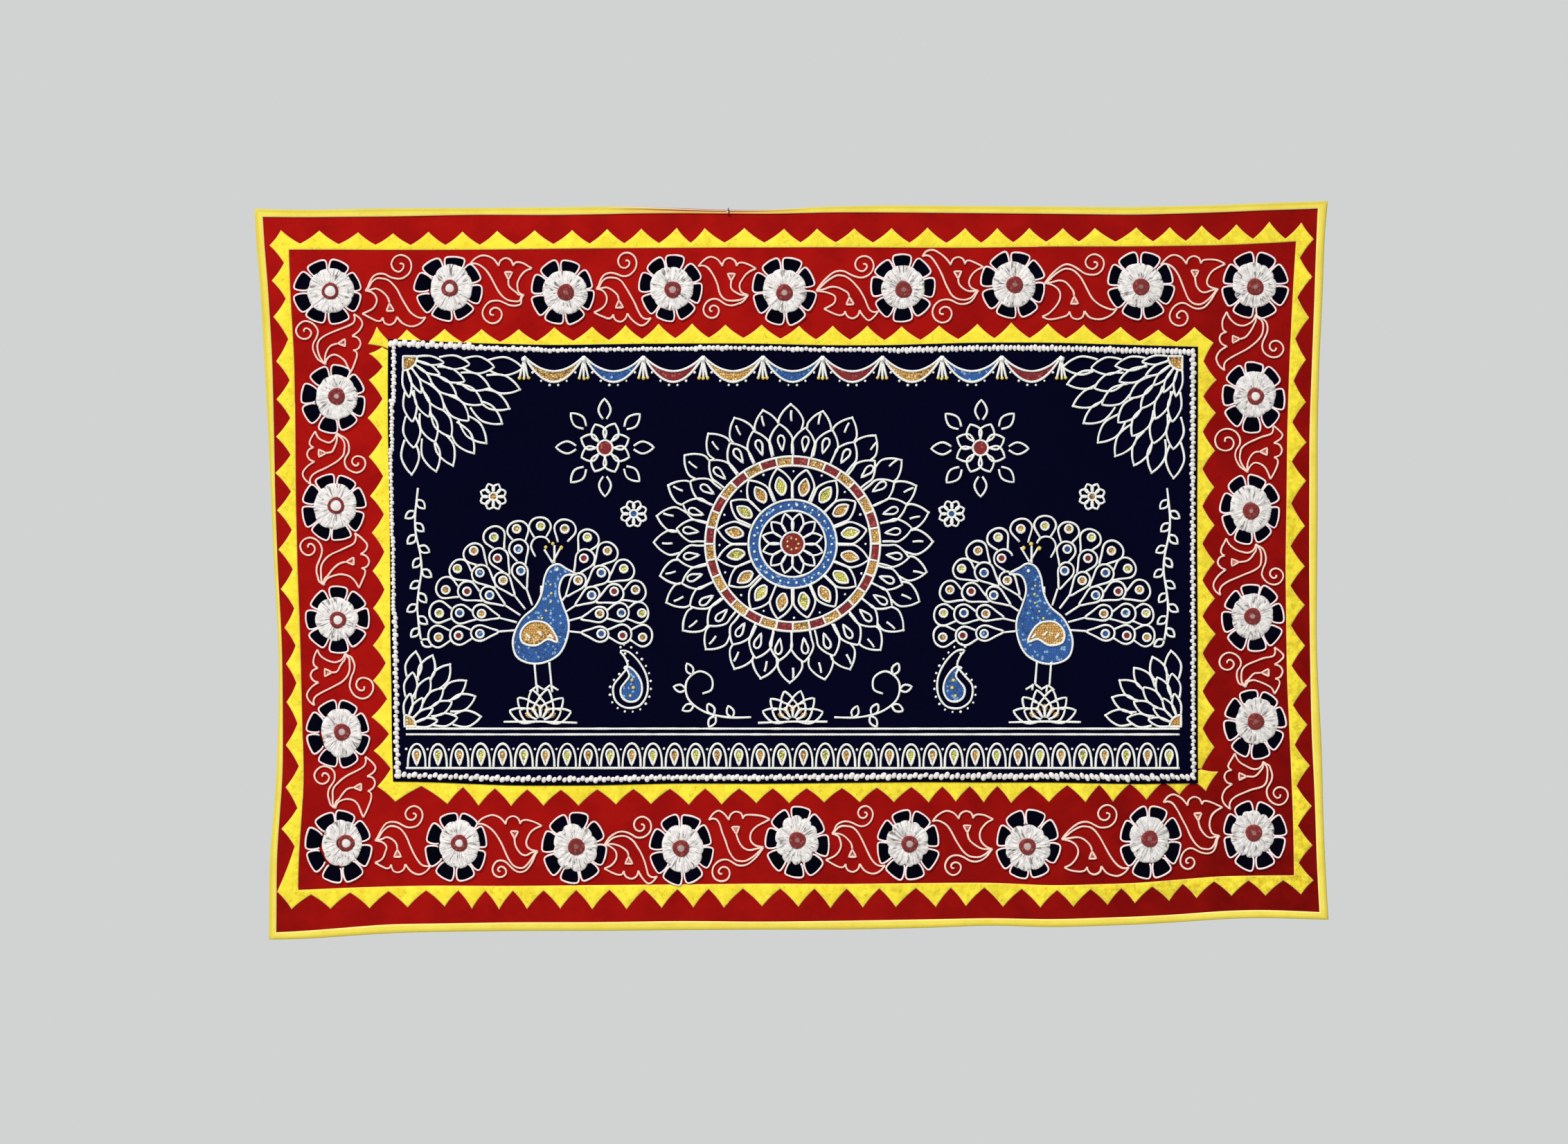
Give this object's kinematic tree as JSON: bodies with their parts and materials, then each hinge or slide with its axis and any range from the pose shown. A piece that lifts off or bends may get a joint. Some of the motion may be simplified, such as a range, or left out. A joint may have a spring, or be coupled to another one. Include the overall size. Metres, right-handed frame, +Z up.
{
  "type": "pipli applique panel with its wall nail",
  "caption": "Rectangular cotton applique wall hanging with bound edge, sawtooth borders, a ring of layered flowers and a dark centre cloth, hung by its top edge from a small nail.",
  "frame": {"origin": "the middle of the panel's top edge, where the wall holds it", "axes": "+X to the right of someone facing the panel, +Z up, the panel faces -Y and the wall is on its +Y side"},
  "size_m": [1.5014, 0.0312, 1.0327],
  "materials": {
    "red_cotton": "matte plain-weave cotton",
    "navy_cotton": "soft-sheen cotton",
    "yellow_cotton": "matte cotton",
    "binding_cotton": "matte cotton",
    "white_cotton": "matte gathered cotton",
    "nail_steel": "dull bare steel"
  },
  "bodies": {
    "root": {"ground_cloth": "red_cotton", "edge_binding": "binding_cotton", "sawtooth_outer": "yellow_cotton", "sawtooth_inner_upper": "yellow_cotton", "sawtooth_inner_lower": "yellow_cotton", "centre_cloth": "navy_cotton", "centre_trim": "white_cotton", "wall_nail": "nail_steel", "petals_top_1": "navy_cotton", "petals_top_2": "navy_cotton", "petals_top_3": "navy_cotton", "petals_top_4": "navy_cotton", "petals_top_5": "navy_cotton", "petals_top_6": "navy_cotton", "petals_top_7": "navy_cotton", "petals_top_8": "navy_cotton", "petals_top_9": "navy_cotton", "petals_right_1": "navy_cotton", "petals_right_2": "navy_cotton", "petals_right_3": "navy_cotton", "petals_right_4": "navy_cotton", "petals_bottom_1": "navy_cotton", "petals_bottom_2": "navy_cotton", "petals_bottom_3": "navy_cotton", "petals_bottom_4": "navy_cotton", "petals_bottom_5": "navy_cotton", "petals_bottom_6": "navy_cotton", "petals_bottom_7": "navy_cotton", "petals_bottom_8": "navy_cotton", "petals_bottom_9": "navy_cotton", "petals_left_1": "navy_cotton", "petals_left_2": "navy_cotton", "petals_left_3": "navy_cotton", "petals_left_4": "navy_cotton", "rosette_top_1": "white_cotton", "rosette_top_2": "white_cotton", "rosette_top_3": "white_cotton", "rosette_top_4": "white_cotton", "rosette_top_5": "white_cotton", "rosette_top_6": "white_cotton", "rosette_top_7": "white_cotton", "rosette_top_8": "white_cotton", "rosette_top_9": "white_cotton", "rosette_right_1": "white_cotton", "rosette_right_2": "white_cotton", "rosette_right_3": "white_cotton", "rosette_right_4": "white_cotton", "rosette_bottom_1": "white_cotton", "rosette_bottom_2": "white_cotton", "rosette_bottom_3": "white_cotton", "rosette_bottom_4": "white_cotton", "rosette_bottom_5": "white_cotton", "rosette_bottom_6": "white_cotton", "rosette_bottom_7": "white_cotton", "rosette_bottom_8": "white_cotton", "rosette_bottom_9": "white_cotton", "rosette_left_1": "white_cotton", "rosette_left_2": "white_cotton", "rosette_left_3": "white_cotton", "rosette_left_4": "white_cotton"}
  },
  "joints": []
}
